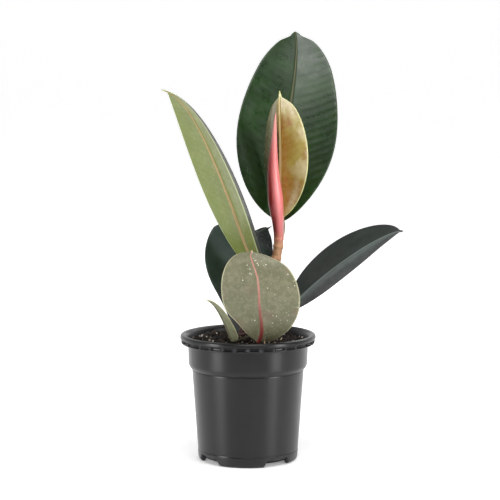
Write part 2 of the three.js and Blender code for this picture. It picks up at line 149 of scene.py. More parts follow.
def bezier(points, t):
    """Points and tangents of a cubic Bezier: the four controls weighted by Bernstein's polynomials."""
    p = np.asarray(points, float)
    t = np.asarray(t, float)[:, None]
    u = 1 - t
    at = u**3 * p[0] + 3 * u * u * t * p[1] + 3 * u * t * t * p[2] + t**3 * p[3]
    along = u * u * (p[1] - p[0]) + 2 * u * t * (p[2] - p[1]) + t * t * (p[3] - p[2])
    return at, unit(along)


def smooth_route(points, steps):
    """A Catmull-Rom cubic through the points, resampled at even steps of its length."""
    p = np.asarray(points, float)
    ahead = np.vstack([2 * p[0] - p[1], p, 2 * p[-1] - p[-2]])
    fine = []
    for i in range(len(p) - 1):
        t = np.linspace(0, 1, 40, endpoint=i == len(p) - 2)[:, None]
        a, b, c, d = ahead[i:i + 4]
        fine.append(0.5 * (2 * b + (c - a) * t + (2 * a - 5 * b + 4 * c - d) * t**2
                           + (3 * b - a - 3 * c + d) * t**3))
    fine = np.vstack(fine)
    run = np.concatenate([[0], np.cumsum(np.linalg.norm(np.diff(fine, axis=0), axis=1))])
    even = np.linspace(0, run[-1], steps)
    return np.stack([np.interp(even, run, fine[:, k]) for k in range(3)], 1)


def frames_along(path):
    """Tangents of a path with two normals that turn as little as they can from point to point."""
    tangent = unit(np.gradient(path, axis=0))
    side = np.zeros_like(path)
    start = np.array([1.0, 0, 0]) if abs(tangent[0, 0]) < 0.9 else np.array([0, 1.0, 0])
    side[0] = unit(start - start @ tangent[0] * tangent[0])
    for i in range(1, len(path)):
        kept = side[i - 1] - side[i - 1] @ tangent[i] * tangent[i]
        side[i] = unit(kept)
    return tangent, side, np.cross(tangent, side)


def smoothstep(low, high, x):
    """0 below low, 1 above high, and an S curve between them."""
    t = np.clip((x - low) / (high - low), 0, 1)
    return t * t * (3 - 2 * t)


def ripple(x, y, seed, octaves=3):
    """Soft noise: sums of sines in turned directions, each octave twice as fine and half as strong."""
    random = np.random.default_rng(seed)
    total = np.zeros(np.broadcast(x, y).shape)
    for octave in range(octaves):
        for _ in range(4):
            turn, phase = random.uniform(0, 2 * np.pi, 2)
            reach = 2.0**octave * random.uniform(0.7, 1.3)
            total += np.sin(reach * (x * np.cos(turn) + y * np.sin(turn)) + phase) / 2.0**octave
    return total / 5


def grid_faces(rows, columns):
    """Quads between neighbouring points of a rows by columns grid whose last column joins its first."""
    i = np.arange(rows - 1)[:, None]
    j = np.arange(columns)[None, :]
    k = (j + 1) % columns
    quads = np.stack([i * columns + j, i * columns + k, (i + 1) * columns + k, (i + 1) * columns + j], -1)
    return quads.reshape(-1, 4)


def caps(rows, columns):
    """Triangles that close such a grid: fans from the two points numbered after it to its end rows."""
    first, top = rows * columns, (rows - 1) * columns
    j = np.arange(columns)
    k = np.roll(j, -1)
    return np.vstack([np.stack([np.full(columns, first), k, j], 1),
                      np.stack([np.full(columns, first + 1), top + j, top + k], 1)])


class Shell:
    """Points, faces and per-point values gathered for one mesh."""

    def __init__(self):
        self.points, self.quads, self.triangles, self.values, self.count = [], [], [], {}, 0

    def add(self, points, quads=None, triangles=None, **values):
        points = np.asarray(points, float).reshape(-1, 3)
        if quads is not None and len(quads):
            self.quads.append(np.asarray(quads) + self.count)
        if triangles is not None and len(triangles):
            self.triangles.append(np.asarray(triangles) + self.count)
        for name in sorted({*values, *self.values}):
            kept = self.values.setdefault(name, [np.zeros(self.count)])
            given = np.asarray(values.get(name, 0.0), float).reshape(-1)
            kept.append(np.broadcast_to(given, (len(points),)))
        self.points.append(points)
        self.count += len(points)

    def tube(self, path, radius, sides, around=None, **values):
        """A closed skin round a path: a ring of points at each step, square to it, with capped ends."""
        path = np.asarray(path, float)
        steps = len(path)
        _, side, other = frames_along(path)
        angle = np.linspace(0, 2 * np.pi, sides, endpoint=False)
        ring = np.cos(angle)[None, :, None] * side[:, None] + np.sin(angle)[None, :, None] * other[:, None]
        radius = np.broadcast_to(np.asarray(radius, float), (steps,))[:, None] * np.ones((1, sides))
        if around is not None:
            radius = around(radius, np.linspace(0, 1, steps)[:, None], angle[None, :])
        points = path[:, None] + ring * radius[..., None]
        points = np.vstack([points.reshape(-1, 3), path[:1], path[-1:]])
        run = np.concatenate([np.repeat(np.linspace(0, 1, steps), sides), [0, 1]])
        turn = np.concatenate([np.tile(angle / (2 * np.pi), steps), [0, 0]])
        self.add(points, grid_faces(steps, sides), caps(steps, sides), run=run, turn=turn, **values)

    def mesh(self, name, material, smooth=True):
        """One object at the origin, its points turned to metres, its values kept as point attributes."""
        points = np.vstack(self.points) * MM
        quads = np.vstack(self.quads) if self.quads else np.zeros((0, 4), int)
        triangles = np.vstack(self.triangles) if self.triangles else np.zeros((0, 3), int)
        loops = np.concatenate([quads.ravel(), triangles.ravel()]).astype(np.int32)
        sizes = np.concatenate([np.full(len(quads), 4), np.full(len(triangles), 3)]).astype(np.int32)
        mesh = bpy.data.meshes.new(name)
        mesh.vertices.add(len(points))
        mesh.vertices.foreach_set("co", points.astype(np.float32).ravel())
        mesh.loops.add(len(loops))
        mesh.loops.foreach_set("vertex_index", loops)
        mesh.polygons.add(len(sizes))
        mesh.polygons.foreach_set("loop_start", (np.cumsum(sizes) - sizes).astype(np.int32))
        mesh.polygons.foreach_set("use_smooth", np.full(len(sizes), smooth))
        mesh.update(calc_edges=True)
        mesh.validate()
        for key, parts in self.values.items():
            attribute = mesh.attributes.new(key, "FLOAT", "POINT")
            attribute.data.foreach_set("value", np.concatenate(parts).astype(np.float32))
        piece = bpy.data.objects.new(name, mesh)
        bpy.context.scene.collection.objects.link(piece)
        mesh.materials.append(material)
        return piece


def place(piece, nodes):
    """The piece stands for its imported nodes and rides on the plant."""
    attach(piece, BODY)
    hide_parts(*nodes)
    return piece


def stem_point(height):
    """The stem's centre at a height above the soil line, in millimetres."""
    path = smooth_route(STEM_ROUTE, 400)
    x, y = (np.interp(height, path[:, 2], path[:, k]) for k in (0, 1))
    return np.array([x, y, height + SOIL_LINE])


# ---- node graphs


class Finish:
    """A material built node by node; each method adds one node and returns its output."""

    def __init__(self, name):
        self.material = bpy.data.materials.new(name)
        self.material.use_nodes = True
        self.nodes = self.material.node_tree.nodes
        self.links = self.material.node_tree.links
        self.shader = self.nodes["Principled BSDF"]
        self.position = self.nodes.new("ShaderNodeTexCoord").outputs["Object"]

    def node(self, kind, inputs=(), **settings):
        node = self.nodes.new(kind)
        for key, value in settings.items():
            setattr(node, key, value)
        for key, value in dict(inputs).items():
            self.feed(node.inputs[key], value)
        return node

    def feed(self, socket, value):
        if isinstance(value, bpy.types.NodeSocket):
            self.links.new(value, socket)
        elif socket.type == "RGBA" and len(value) == 3:
            socket.default_value = (*value, 1)
        else:
            socket.default_value = value

    def value_of(self, name):
        return self.node("ShaderNodeAttribute", attribute_name=name).outputs["Fac"]

    def stretched(self, scale):
        return self.node("ShaderNodeMapping", {"Vector": self.position, "Scale": scale}).outputs["Vector"]

    def noise(self, scale, detail, rough, vector=None):
        vector = self.position if vector is None else vector
        inputs = {"Vector": vector, "Scale": scale, "Detail": detail, "Roughness": rough}
        return self.node("ShaderNodeTexNoise", inputs).outputs["Fac"]

    def cells(self, scale):
        inputs = {"Vector": self.position, "Scale": scale}
        return self.node("ShaderNodeTexVoronoi", inputs).outputs["Distance"]

    def axis(self, name):
        return self.node("ShaderNodeSeparateXYZ", {"Vector": self.position}).outputs[name]

    def math(self, operation, a, b):
        node = self.node("ShaderNodeMath", operation=operation)
        self.feed(node.inputs[0], a)
        self.feed(node.inputs[1], b)
        return node.outputs[0]

    def spread(self, value, low, high, to_low=0.0, to_high=1.0, smooth=True):
        kind = "SMOOTHSTEP" if smooth else "LINEAR"
        inputs = {"Value": value, "From Min": low, "From Max": high, "To Min": to_low, "To Max": to_high}
        node = self.node("ShaderNodeMapRange", inputs, interpolation_type=kind, clamp=True)
        return node.outputs["Result"]

    def times(self, a, b):
        return self.math("MULTIPLY", a, b)

    def lay(self, color, over, *shares):
        """The colour with another laid over it, as strongly as the product of the shares."""
        share = shares[0]
        for more in shares[1:]:
            share = self.times(share, more)
        node = self.node("ShaderNodeMix", data_type="RGBA")
        for number, value in ((0, share), (6, color), (7, over)):
            self.feed(node.inputs[number], value)
        return node.outputs[2]

    def bump(self, height, strength, distance, under=None):
        inputs = {"Height": height, "Strength": strength, "Distance": distance}
        if under is not None:
            inputs["Normal"] = under
        return self.node("ShaderNodeBump", inputs).outputs["Normal"]

    def finish(self, color, roughness, normal=None, **sockets):
        self.feed(self.shader.inputs["Base Color"], color)
        self.feed(self.shader.inputs["Roughness"], roughness)
        if normal is not None:
            self.feed(self.shader.inputs["Normal"], normal)
        for key, value in sockets.items():
            self.feed(self.shader.inputs[key.replace("_", " ")], value)
        return self.material


def rgb(red, green, blue):
    """A linear colour from its everyday 0 to 255 values."""
    def linear(c):
        c = c / 255
        return c / 12.92 if c <= 0.04045 else ((c + 0.055) / 1.055) ** 2.4
    return (linear(red), linear(green), linear(blue))


def shaded(color, share):
    """A colour dimmed to a share of itself."""
    return tuple(share * c for c in color)


# ---- leaves

# Colours of each leaf's upper side, under side, midrib on each side, and margin
SKINS = {
    "tall": dict(upper=rgb(16, 40, 6), upper_two=rgb(26, 56, 10), under=rgb(120, 135, 80),
                 rib_upper=rgb(84, 82, 56), rib_under=rgb(170, 150, 100), margin=rgb(64, 80, 58),
                 vein=rgb(34, 64, 34), rough=0.32, coat=0.2, sheen_under=0.5),
    "young": dict(upper=rgb(150, 110, 38), upper_two=rgb(172, 158, 78), under=rgb(170, 150, 110),
                  rib_upper=rgb(226, 208, 150), rib_under=rgb(215, 150, 130), margin=rgb(206, 206, 140),
                  vein=rgb(176, 160, 84), rough=0.26, coat=0.45, sheen_under=0.45),
    "long": dict(upper=rgb(30, 48, 34), upper_two=rgb(38, 60, 40), under=rgb(102, 112, 40),
                 rib_upper=rgb(120, 110, 80), rib_under=rgb(164, 134, 84), margin=rgb(176, 186, 132),
                 vein=rgb(150, 160, 92), rough=0.36, coat=0.2, sheen_under=0.42),
    "front": dict(upper=rgb(34, 48, 38), upper_two=rgb(40, 58, 44), under=rgb(106, 106, 80),
                  rib_upper=rgb(120, 70, 60), rib_under=rgb(150, 62, 54), margin=rgb(192, 188, 152),
                  vein=rgb(128, 128, 100), rough=0.42, coat=0.15, sheen_under=0.5),
    "right": dict(upper=rgb(14, 26, 20), upper_two=rgb(24, 38, 32), under=rgb(112, 116, 84),
                  rib_upper=rgb(112, 122, 116), rib_under=rgb(150, 80, 66), margin=rgb(34, 40, 36),
                  vein=rgb(52, 70, 64), rough=0.42, coat=0.12, sheen_under=0.5),
    "back": dict(upper=rgb(24, 42, 34), upper_two=rgb(38, 58, 48), under=rgb(100, 106, 78),
                 rib_upper=rgb(70, 82, 68), rib_under=rgb(70, 40, 34), margin=rgb(44, 54, 48),
                 vein=rgb(56, 76, 66), rough=0.42, coat=0.12, sheen_under=0.5),
    "small": dict(upper=rgb(40, 54, 40), upper_two=rgb(48, 62, 46), under=rgb(126, 130, 100),
                  rib_upper=rgb(90, 86, 64), rib_under=rgb(104, 100, 76), margin=rgb(170, 168, 130),
                  vein=rgb(134, 138, 108), rough=0.42, coat=0.15, sheen_under=0.5),
}


def half_width(leaf, s, length):
    """A raised sine whose top sits at wide_at, its ends blunter or sharper, joined to a tip wedge."""
    power = math.log(0.5) / math.log(leaf["wide_at"])
    q = np.clip(s / (1 - leaf["drip"]), 0, 1)
    towards_tip = np.clip((q - TIP_BLUNTNESS_STARTS) / TIP_BLUNTNESS_OVER, 0, 1)
    bluntness = leaf["blunt"][0] + (leaf["blunt"][1] - leaf["blunt"][0]) * towards_tip
    body = np.maximum(np.sin(np.pi * q**power), 0) ** bluntness * leaf["width"] / 2
    slope, widest = leaf["apex"]
    wedge = widest * (1 - np.exp(-(1 - s) * length * slope / widest))
    wedge = wedge * smoothstep(WEDGE_STARTS, WEDGE_FULL, s)
    drawn_in = np.clip((1 - s) / leaf.get("pointed", 1e-6), 0, 1) ** POINTED_POWER
    return np.maximum(np.cbrt((body * drawn_in) ** 3 + wedge**3), LEAST_HALF_WIDTH)


def leaf_surface(leaf, seed):
    """The two skins of a blade on a grid of s, along the midrib, and v, across it.

    A point is the midrib's, plus its half width bent into an arc that starts at the fold and curls on,
    plus small lifts along the local normal: waves, sunk side veins above, and a rounded ridge that the
    midrib makes underneath and a groove that it makes above.
    """
    root = stem_point(leaf["height"])
    rows = leaf["rows"]
    # rows crowd towards both ends, where the outline turns fastest
    even = np.linspace(0, 1, rows)
    s = 0.55 * even + 0.45 * (1 - np.cos(np.pi * even)) / 2
    spine, along = bezier(np.array(leaf["spine"], float) + root, s)
    face = np.outer(1 - s, leaf["face"][0]) + np.outer(s, leaf["face"][1])
    up = unit(face - (face * along).sum(1, keepdims=True) * along)
    across = np.cross(along, up)
    length = np.linalg.norm(np.diff(spine, axis=0), axis=1).sum()
    half = half_width(leaf, s, length)[:, None]

    u = np.linspace(-1, 1, 2 * HALF_COLUMNS + 1)[None, :]
    v = np.sign(u) * np.abs(u) ** 1.3
    if "slim" in leaf:
        start, end, share = leaf["slim"]
        half = np.where(v >= 0, half, half * (1 + (share - 1) * smoothstep(start, end, s[:, None])))
    if "trim" in leaf:
        middle, around, share = leaf["trim"]
        taken = share * np.exp(-(((s[:, None] - middle) / around) ** 2))
        half = np.where(v >= 0, half * (1 - taken), half)
    # the midrib and all that follows it lie at v = 0, and set_off moves that across the outline
    places, shares = leaf.get("sway", ((0, 1), (0, 0)))
    set_off = np.interp(s, places, shares)[:, None]
    across_at = v + set_off * (1 - v**2)
    from_rib = np.abs(v)
    reach = np.abs(across_at)
    wing = across_at >= 0
    fold = np.radians(np.where(wing, leaf["fold"][1], leaf["fold"][0]))
    curl = np.radians(np.where(wing, leaf["curl"][1], leaf["curl"][0]))
    angle = fold + curl * reach
    out = np.sign(across_at) * (np.sin(angle) - np.sin(fold)) / curl
    lift = (np.cos(fold) - np.cos(angle)) / curl
    tilt = np.sign(across_at) * np.sin(angle)

    distance = from_rib * half
    rib_half = 0.55 + (leaf["stalk"] - 0.1) * (1 - s[:, None]) ** 1.2
    rib = np.exp(-((distance / rib_half) ** 2))
    rib_room = smoothstep(0.0, 0.6, half / rib_half - 1)
    lead = (0.28 * distance + 0.003 * distance**2) / length
    turn = leaf["veins"] * (s[:, None] - lead) + 0.28 * ripple(s[:, None] * 22, v * 3, seed, 2)
    near = np.abs(turn - np.round(turn))
    vein = np.exp(-((near / 0.13) ** 2)) * smoothstep(1.0, 0.86, reach) * smoothstep(0.0, 0.1, reach)
    vein = vein * smoothstep(0.0, 0.04, s)[:, None] * smoothstep(1.0, 0.96, s)[:, None]
    halfway = np.exp(-(((near - 0.5) / 0.1) ** 2))
    halfway = halfway * smoothstep(0.2, 0.5, reach) * smoothstep(1.0, 0.86, reach)
    wave = leaf["wave"] * (reach**2) * ripple(s[:, None] * 9 + 5 * wing, v * 1.5, seed + 1, 2)
    uneven = np.clip(0.5 + ripple(s[:, None] * 14, v * 4, seed + 2, 2), 0, 1)
    wave = wave + 0.28 * leaf["relief"] * leaf["wave"] * reach * uneven * np.cos(2 * np.pi * turn)
    wave = wave * smoothstep(0, 0.1, s)[:, None] * smoothstep(1, 0.9, s)[:, None]

    def skin(top):
        thick = BLADE_THICKNESS + (MARGIN_THICKNESS - BLADE_THICKNESS) * reach**2
        side = 0.5 if top else -0.5
        # a rounded margin: the skins meet as half a circle
        thick = thick * np.sqrt(np.clip(1 - reach**24, 0, 1)) * side
        if top:
            detail = wave - leaf["relief"] * (0.05 * vein * (0.4 + 0.6 * uneven) + 0.02 * halfway)
            detail = detail - 0.35 * rib * rib_room
        else:
            detail = wave + 0.05 * vein - (0.5 + 1.7 * (1 - s[:, None]) ** 1.5) * rib * rib_room
        lifted = lift * half + np.cos(angle) * (thick + detail)
        spread = out * half - tilt * (thick + detail)
        return spine[:, None] + across[:, None] * spread[..., None] + up[:, None] * lifted[..., None]

    columns = v.shape[1]
    upper, under = skin(True), skin(False)[:, ::-1]
    ring = np.concatenate([upper, under[:, 1:-1]], 1)
    whole = {
        "along": np.repeat(s, ring.shape[1]),
        "across": ring_values(np.broadcast_to(v, (rows, columns))),
        "rib": ring_values(rib),
        "vein": ring_values(vein),
        "under": np.tile(np.concatenate([np.zeros(columns), np.ones(columns - 2)]), rows),
        "margin": ring_values(np.clip((1 - reach) * half, 0, 5) / 5),
    }
    return ring, whole


def ring_values(values):
    """Values of the upper skin followed by the same values in the under skin's order."""
    return np.concatenate([values, values[:, ::-1][:, 1:-1]], 1).ravel()


def leaf_shell(leaf, seed):
    """A leaf: its blade closed at both ends, and the round stalk that runs from the stem into the blade."""
    ring, values = leaf_surface(leaf, seed)
    rows, columns = ring.shape[:2]
    points = np.vstack([ring.reshape(-1, 3), ring[[0, -1]].mean(1)])
    quads, ends = grid_faces(rows, columns), caps(rows, columns)
    kept = {name: np.concatenate([value, value[:1], value[-1:]]) for name, value in values.items()}
    shell = Shell()
    if signed_volume(points, quads, ends) < 0:
        quads, ends = quads[:, ::-1], ends[:, ::-1]
    shell.add(points, quads, ends, stalk=0.0, **kept)

    root = stem_point(leaf["height"])
    controls = np.array(leaf["spine"], float) + root
    into, along = bezier(controls, np.linspace(0, 0.07, 8))
    reach = np.linalg.norm(controls[0] - root) * 0.4
    leaves = unit(np.array(leaf["leaves"], float))
    stalk, _ = bezier((root, root + leaves * reach, controls[0] - along[0] * leaf["arrive"], controls[0]),
                      np.linspace(0, 1, 40))
    path = smooth_route(np.vstack([stalk[::4], stalk[-1:], into[2:]]), 60)
    run = np.linspace(0, 1, len(path))
    radius = leaf["stalk"] * (1 + SWELL_AT_STEM * np.exp(-((run / 0.09) ** 2)) - 0.12 * run)
    radius = radius * np.sqrt(np.clip(1 - smoothstep(0.9, 1.0, run) * 0.9, 0.05, 1))
    shell.tube(path, radius, 20, stalk=1.0, under=1.0, rib=1.0, margin=1.0)
    return shell


def signed_volume(points, quads, triangles):
    """Six times the volume that the faces close round: negative where they point inwards."""
    split = np.vstack([quads[:, [0, 1, 2]], quads[:, [0, 2, 3]], triangles])
    a, b, c = (points[split[:, n]] for n in range(3))
    return float((a * np.cross(b, c)).sum())


def leaf_finish(name, skin, relief):
    """Leathery skin: deep mottled green above, paler below, with midrib, veins and margin picked out."""
    look = SKINS[skin]
    f = Finish(name)
    under, rib, vein = f.value_of("under"), f.value_of("rib"), f.value_of("vein")
    along, across = f.value_of("along"), f.value_of("across")
    broad, fine = f.noise(38, 4, 0.6), f.noise(420, 3, 0.6)
    upper = f.lay(look["upper"], look["upper_two"], f.spread(broad, 0.35, 0.68))
    if skin == "young":
        upper = young_colour(f, upper, along, across)
    if skin in ("right", "back"):
        upper = dulled_colour(f, upper, along, across, skin)
    upper = f.lay(upper, look["vein"], vein, 0.45 * relief)
    upper = f.lay(upper, look["rib_upper"], f.spread(rib, 0.15, 0.8), 0.85)
    below = f.lay(look["under"], shaded(look["under"], 0.72), f.spread(broad, 0.3, 0.7, 0, 0.5))
    if skin in ("front", "small"):
        below = dusted_colour(f, below)
    if skin == "long":
        rib = f.spread(rib, 0.0, 0.55)
        below = f.lay(below, rgb(160, 142, 88), f.spread(f.noise(90, 4, 0.65), 0.55, 0.75, 0, 0.35))
        below = f.lay(below, rgb(108, 128, 48), f.spread(across, -0.1, 0.9), 0.35)
    below = f.lay(below, look["vein"], vein, 0.22 * relief)
    rib_color = look["rib_under"]
    if skin == "front":
        rib_color = f.lay(rgb(112, 34, 28), rgb(172, 120, 104), f.spread(along, 0.05, 0.75))
    below = f.lay(below, rib_color, f.spread(rib, 0.25, 0.75))
    color = f.lay(upper, below, under)
    color = f.lay(color, rgb(190, 190, 160), f.spread(fine, 0.5, 0.75), f.times(under, 0.14))
    color = f.lay(color, look["margin"], f.spread(f.value_of("margin"), 0.1, 0.28, 1.0, 0.0), 0.85)
    if skin == "long":
        color = rolled_margin(f, color, along, across)
    stalk = f.lay(look["rib_under"], shaded(look["rib_under"], 0.6), f.spread(broad, 0.4, 0.6))
    color = f.lay(color, stalk, f.value_of("stalk"))
    rough = f.spread(f.noise(120, 4, 0.6), 0.3, 0.7, look["rough"] - 0.06, look["rough"] + 0.1)
    rough = f.math("ADD", rough, f.times(under, look["sheen_under"] - look["rough"] + 0.05))
    pores = f.bump(fine, 0.06, 0.0003)
    folds = f.bump(f.noise(160, 3, 0.55), 0.1, 0.0008, pores)
    veined = f.bump(vein, 0.14 * relief, 0.0003, folds)
    return f.finish(color, rough, veined, Coat_Weight=look["coat"], Coat_Roughness=0.22, IOR=1.45)


def rolled_margin(f, color, along, across):
    """One margin rolls over, so that its pale line stands inside a strip of the dark upper side."""
    reach = f.times(f.spread(along, 0.04, 0.2), f.spread(along, 0.97, 0.8))
    color = f.lay(color, rgb(178, 188, 138), f.spread(across, -0.58, -0.64), reach, 0.8)
    return f.lay(color, rgb(14, 22, 12), f.spread(across, -0.68, -0.71), reach)


def young_colour(f, upper, along, across):
    """Bronze gold beside the midrib, cream towards one margin and grey on the other half, with painted
    shade in the gap beside the bud and a green-yellow tip and base."""
    wavy = f.math("ADD", across, f.spread(f.noise(70, 4, 0.6), 0.3, 0.7, -0.18, 0.18, smooth=False))
    cream = f.times(f.spread(wavy, 0.35, 0.75), f.spread(f.noise(45, 3, 0.6), 0.38, 0.62))
    color = f.lay(upper, rgb(214, 200, 160), cream, 0.8)
    rust = f.times(f.spread(f.noise(110, 4, 0.6), 0.56, 0.72), f.spread(wavy, 0.8, 0.2))
    color = f.lay(color, rgb(160, 88, 40), rust, 0.6)
    color = f.lay(color, rgb(148, 144, 118), f.spread(across, -0.05, -0.3), 0.85)
    # painted shade: dark brown laid in the gap between the bud sheath and the midrib
    painted_cleft_shade = f.times(f.spread(across, -0.02, -0.06), f.spread(across, -0.3, -0.2))
    painted_cleft_shade = f.times(painted_cleft_shade, f.times(f.spread(along, 0.3, 0.4), f.spread(along, 0.74, 0.62)))
    color = f.lay(color, rgb(62, 28, 14), painted_cleft_shade, 0.9)
    ends = f.math("MAXIMUM", f.spread(along, 0.2, 0.05), f.spread(along, 0.88, 0.97))
    return f.lay(color, rgb(150, 158, 78), ends, 0.7)


def dulled_colour(f, upper, along, across, skin):
    """A grey bloom over the old lower leaves. The right one has a painted sheen in a pale band below its
    midrib and painted shade on its halves; the back one has a painted shaded base and a purplish tip with
    painted glints."""
    bloom = f.spread(f.noise(60, 4, 0.6), 0.42, 0.7)
    color = f.lay(upper, rgb(60, 70, 66), bloom, 0.25)
    if skin == "right":
        # painted sheen: a pale band just below the midrib
        band = f.times(f.spread(across, 0.02, 0.12), f.spread(across, 0.5, 0.15))
        color = f.lay(color, rgb(96, 108, 104), band, 0.5)
        # painted shade: the lower half darkens towards its margin and the upper half across its middle
        color = f.lay(color, rgb(20, 26, 22), f.spread(across, 0.35, 0.8), 0.75)
        color = f.lay(color, rgb(18, 28, 20), f.spread(across, -0.08, -0.3), f.spread(across, -0.8, -0.5))
        return f.lay(color, rgb(60, 52, 56), f.spread(along, 0.82, 1.0), 0.6)
    color = f.lay(color, rgb(34, 34, 42), f.spread(along, 0.72, 0.95), 0.8)
    # painted shade: the base darkens to near black
    color = f.lay(color, rgb(12, 10, 8), f.spread(along, 0.42, 0.16), 0.9)
    # painted glints: pale flecks towards the tip
    flecks = f.times(f.spread(f.noise(900, 2, 0.5), 0.6, 0.7), f.spread(along, 0.8, 0.92))
    return f.lay(color, rgb(150, 152, 158), flecks, 0.6)


def dusted_colour(f, below):
    """Fine grey mottling, a brown blush and scattered white dust flecks on an old under side."""
    color = f.lay(below, rgb(140, 136, 112), f.spread(f.noise(170, 5, 0.7), 0.42, 0.66), 0.4)
    color = f.lay(color, rgb(112, 88, 74), f.spread(f.noise(48, 3, 0.6), 0.52, 0.68), 0.45)
    chosen = f.spread(f.noise(75, 2, 0.5), 0.55, 0.62)
    return f.lay(color, rgb(222, 220, 200), f.spread(f.cells(330), 0.22, 0.12), chosen, 0.85)


# ---- pot

RIB_COUNT = 32
RIB_HALF_WIDTH = (0.8, 1.2)
WINDOW_BOTTOM, WINDOW_TOP = (-7.48, -7.15), (-4.14, -4.45)
WINDOW_DEPTH = 2.4
NOTCH_COUNT = 4
NOTCH_FIRST = -53
NOTCH_HALF_ANGLE = 15.5
NOTCH_HEIGHT = 6.5
FOOT_HEIGHT = 9.5


def rounded(corners, radii, steps=5):
    """An outline through corners, each turned by a quadratic curve that starts a radius before it."""
    corners = np.asarray(corners, float)
    points = [corners[0]]
    for i in range(1, len(corners) - 1):
        before, here, after = corners[i - 1:i + 2]
        if radii[i] == 0:
            points.append(here)
            continue
        into, out = before - here, after - here
        into_length, out_length = np.linalg.norm(into), np.linalg.norm(out)
        size = min(radii[i], 0.48 * into_length, 0.48 * out_length)
        a, b = here + into / into_length * size, here + out / out_length * size
        for t in np.linspace(0, 1, steps):
            points.append((1 - t) ** 2 * a + 2 * t * (1 - t) * here + t * t * b)
    points.append(corners[-1])
    return np.array(points)


def dense(points, longest):
    """The same outline with points added so that no stretch is longer than longest."""
    fine = [points[:1]]
    for a, b in zip(points[:-1], points[1:]):
        pieces = max(1, int(np.ceil(np.linalg.norm(b - a) / longest)))
        fine.append(a + (b - a) * (np.arange(1, pieces + 1) / pieces)[:, None])
    return np.vstack(fine)


def pot_outline():
    """Half of the pot's section as radius, height: down the outside, under the foot, and up the inside."""
    top, rim = POT_HEIGHT, RIM_RADIUS
    corners = [
        (rim - 5.2, top - 1.4), (rim - 3.6, top), (rim - 0.1, top - 0.5), (rim, top - 3.9),
        (rim - 0.7, top - 4.0), (rim - 0.72, top - 4.15), (rim - 0.75, top - 4.5),
        (rim - 0.88, top - 7.1), (rim - 0.9, top - 7.45), (rim - 1.2, top - 8.0),
        (rim - 6.4, top - 8.1), (rim - 6.9, top - 9.0),
        (52.6, 84.6), (50.4, 81.5), (49.2, 81.1), (49.5, 80.0),
        (44.5, FOOT_HEIGHT + 1.0), (44.1, FOOT_HEIGHT + 0.3), (44.6, FOOT_HEIGHT - 0.6),
        (44.0, 1.6), (41.9, 0.0), (40.4, 0.0), (39.3, 1.2), (38.8, 3.0), (0.0, 3.4),
        (0.0, 4.6), (41.5, 4.8), (42.9, 6.2),
        (48.3, 80.6), (51.2, 84.8), (rim - 7.8, top - 7.0), (rim - 6.4, top - 2.6), (rim - 5.2, top - 1.4),
    ]
    radii = [0, 1.6, 1.9, 0.5, 0.1, 0, 0, 0, 0, 0.3, 0.6, 0.7, 2.4, 0.9, 0.5, 0.4, 0.5, 0.4, 0.5,
             2.2, 1.2, 0.8, 0.8, 0.6, 0, 0, 1.0, 1.0, 0.8, 2.0, 2.0, 1.0, 0]
    return dense(rounded(corners, radii), 2.4)


def pot_shell():
    """The section turned round the axis: rings of points, with windows between ribs sunk into the lip's
    lower face and the foot lifted into rounded notches by a smooth bump in azimuth."""
    outline = pot_outline()
    turns = 12 * RIB_COUNT
    angle = np.linspace(0, 2 * np.pi, turns, endpoint=False)[None, :]
    radius, height = outline[:, :1] + 0 * angle, outline[:, 1:] + 0 * angle
    # nearest rib: the wall between two ribs lies deeper
    spacing = 2 * np.pi / RIB_COUNT
    from_rib = np.abs((angle + spacing / 2) % spacing - spacing / 2) * RIM_RADIUS
    window = smoothstep(*RIB_HALF_WIDTH, from_rib)
    below_top = height - POT_HEIGHT
    band = smoothstep(*WINDOW_BOTTOM, below_top) * smoothstep(*WINDOW_TOP, below_top)
    outside = (radius > RIM_RADIUS - 1.6).astype(float)
    sunk = window * band * outside
    # the posts between the windows get a painted highlight in the finish
    post = (1 - window) * band * outside
    radius = radius - WINDOW_DEPTH * sunk
    # notches: the foot is lifted, and most at its lowest points
    first = math.radians(NOTCH_FIRST - 90)
    pitch = 2 * np.pi / NOTCH_COUNT
    off = np.abs((angle - first + pitch / 2) % pitch - pitch / 2)
    wide = math.radians(NOTCH_HALF_ANGLE)
    notch = NOTCH_HEIGHT * smoothstep(wide + 0.05, wide - 0.05, off)
    foot = (height < FOOT_HEIGHT) & (radius > 38.9)
    squeezed = notch + height * (FOOT_HEIGHT - notch) / FOOT_HEIGHT
    inner = (height > 4.5) & (radius < 43.2)
    height = np.where(foot & ~inner, squeezed, height)
    wobble = 0.12 * ripple(3 * np.cos(angle), 3 * np.sin(angle) + height / 45, SEED, 2)
    radius = radius + np.where(radius > 30, wobble, 0)
    points = np.stack([radius * np.cos(angle), radius * np.sin(angle), height], -1)
    axis = np.abs(outline[:, 0]) < 1e-6
    shell = Shell()
    rows = len(outline)
    # the two rows on the axis become single points
    low = int(np.argmax(axis))
    outer, inner_wall = points[:low], points[low + 2:]
    # the window value also carries painted shade into the finish
    shell.add(outer, grid_faces(low, turns), window=sunk[:low], post=post[:low])
    shell.add(inner_wall[:-1], grid_faces(rows - low - 3, turns))
    j = np.arange(turns)
    k = np.roll(j, -1)
    centres = shell.count
    shell.add([[0, 0, outline[low, 1]], [0, 0, outline[low + 1, 1]]])
    inner_start = low * turns
    inner_end = inner_start + (rows - low - 4) * turns
    fans = [np.stack([np.full(turns, centres), (low - 1) * turns + k, (low - 1) * turns + j], 1),
            np.stack([np.full(turns, centres + 1), inner_start + j, inner_start + k], 1)]
    shell.triangles.append(np.vstack(fans))
    shell.quads.append(np.stack([inner_end + j, inner_end + k, k, j], 1))
    everything = np.vstack(shell.points)
    if signed_volume(everything, np.vstack(shell.quads), np.vstack(shell.triangles)) < 0:
        shell.quads = [quads[:, ::-1] for quads in shell.quads]
        shell.triangles = [triangles[:, ::-1] for triangles in shell.triangles]
    return shell


